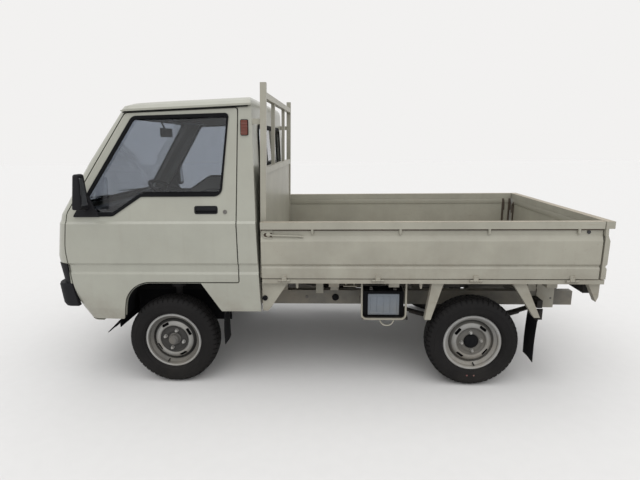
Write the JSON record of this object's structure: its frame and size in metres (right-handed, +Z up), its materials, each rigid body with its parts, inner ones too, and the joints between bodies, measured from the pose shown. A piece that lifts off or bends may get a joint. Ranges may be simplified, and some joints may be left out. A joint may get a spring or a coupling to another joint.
{
  "type": "kei truck",
  "caption": "Small cab-over pickup truck with a drop-side bed, a guard frame behind the cab, opening doors and gates, and steered front wheels.",
  "frame": {"origin": "on the ground, under the middle of the length, on the centre plane", "axes": "+X forward, +Y to the truck's left, +Z up, square to the bed floor"},
  "size_m": [3.1949, 1.6424, 1.7469],
  "materials": {
    "body_paint": "satin",
    "bed_paint": "matte",
    "frame_paint": "matte",
    "black_steel": "satin",
    "wheel_paint": "satin",
    "raw_casting": "matte",
    "black_plastic": "matte",
    "grey_plastic": "matte",
    "battery_case": "matte",
    "lamp_clear": "gloss",
    "lamp_amber": "gloss",
    "lamp_red": "gloss",
    "window": "clear",
    "seat_cloth": "woven",
    "tyre": "matte",
    "flap_rubber": "matte"
  },
  "bodies": {
    "chassis": {"front_panel": "body_paint", "cab_pillars": "body_paint", "rear_wall": "body_paint", "roof": "body_paint", "front_bumper": "black_plastic", "front_garnish": "black_plastic", "headlamps": "lamp_clear", "amber_lamps": "lamp_amber", "tail_lamps": "lamp_red", "cab_glass": "window", "cab_floor": "body_paint", "dashboard": "grey_plastic", "seats": "seat_cloth", "wipers": "black_steel", "frame_rails": "frame_paint", "cross_members": "frame_paint", "engine": "raw_casting", "propeller_shaft": "raw_casting", "rear_axle": "black_steel", "leaf_springs": "black_steel", "front_suspension": "black_steel", "fuel_tank": "black_steel", "exhaust": "raw_casting", "battery": "battery_case", "battery_carrier": "frame_paint", "mudguards": "flap_rubber", "gate_hinges": "bed_paint", "bed_floor": "bed_paint", "bed_stays": "bed_paint", "guard_frame": "bed_paint"},
    "left_door": {"door_left": "body_paint", "door_glass_left": "window", "mirror_left": "black_plastic"},
    "right_door": {"door_right": "body_paint", "door_glass_right": "window", "mirror_right": "black_plastic"},
    "left_gate": {"gate_left": "bed_paint"},
    "right_gate": {"gate_right": "bed_paint"},
    "rear_gate": {"tailgate": "bed_paint"},
    "steering": {"steering_wheel": "black_plastic"},
    "left_knuckle": {"knuckle_left": "black_steel"},
    "right_knuckle": {"knuckle_right": "black_steel"},
    "front_left_wheel": {"rim_front_left": "wheel_paint", "tyre_front_left": "tyre"},
    "front_right_wheel": {"rim_front_right": "wheel_paint", "tyre_front_right": "tyre"},
    "rear_left_wheel": {"rim_rear_left": "wheel_paint", "tyre_rear_left": "tyre"},
    "rear_right_wheel": {"rim_rear_right": "wheel_paint", "tyre_rear_right": "tyre"}
  },
  "joints": [
    {"name": "left_door_hinge", "type": "hinge", "parent": "chassis", "child": "left_door", "pos_m": [1.466, 0.696, 1], "axis": [0, 0, -1], "range_deg": [0, 65]},
    {"name": "right_door_hinge", "type": "hinge", "parent": "chassis", "child": "right_door", "pos_m": [1.466, -0.696, 1], "axis": [0, 0, 1], "range_deg": [0, 65]},
    {"name": "left_gate_hinge", "type": "hinge", "parent": "chassis", "child": "left_gate", "pos_m": [-0.6, 0.701, 0.663], "axis": [-1, 0, 0], "range_deg": [0, 175]},
    {"name": "right_gate_hinge", "type": "hinge", "parent": "chassis", "child": "right_gate", "pos_m": [-0.6, -0.701, 0.663], "axis": [1, 0, 0], "range_deg": [0, 175]},
    {"name": "rear_gate_hinge", "type": "hinge", "parent": "chassis", "child": "rear_gate", "pos_m": [-1.592, 0, 0.663], "axis": [0, -1, 0], "range_deg": [0, 175]},
    {"name": "steering_turn", "type": "hinge", "parent": "chassis", "child": "steering", "pos_m": [1.215, -0.34, 1.06], "axis": [-0.5, 0, 0.866], "range_deg": [-540, 540]},
    {"name": "left_king_pin", "type": "hinge", "parent": "chassis", "child": "left_knuckle", "pos_m": [0.89, 0.54, 0.175], "axis": [0, -0.1111, 0.9938], "range_deg": [-33.75, 33.75]},
    {"name": "right_king_pin", "type": "hinge", "parent": "chassis", "child": "right_knuckle", "pos_m": [0.89, -0.54, 0.175], "axis": [0, 0.1111, 0.9938], "range_deg": [-33.75, 33.75]},
    {"name": "front_left_spin", "type": "hinge", "parent": "left_knuckle", "child": "front_left_wheel", "pos_m": [0.89, 0.607, 0.27], "axis": [0, 1, 0], "continuous": true},
    {"name": "front_right_spin", "type": "hinge", "parent": "right_knuckle", "child": "front_right_wheel", "pos_m": [0.89, -0.607, 0.27], "axis": [0, 1, 0], "continuous": true},
    {"name": "rear_left_spin", "type": "hinge", "parent": "chassis", "child": "rear_left_wheel", "pos_m": [-0.89, 0.607, 0.27], "axis": [0, 1, 0], "continuous": true},
    {"name": "rear_right_spin", "type": "hinge", "parent": "chassis", "child": "rear_right_wheel", "pos_m": [-0.89, -0.607, 0.27], "axis": [0, 1, 0], "continuous": true}
  ],
  "couplings": [
    {"joint": "left_king_pin", "follows": "steering_turn", "ratio": 0.0625},
    {"joint": "right_king_pin", "follows": "steering_turn", "ratio": 0.0625}
  ]
}
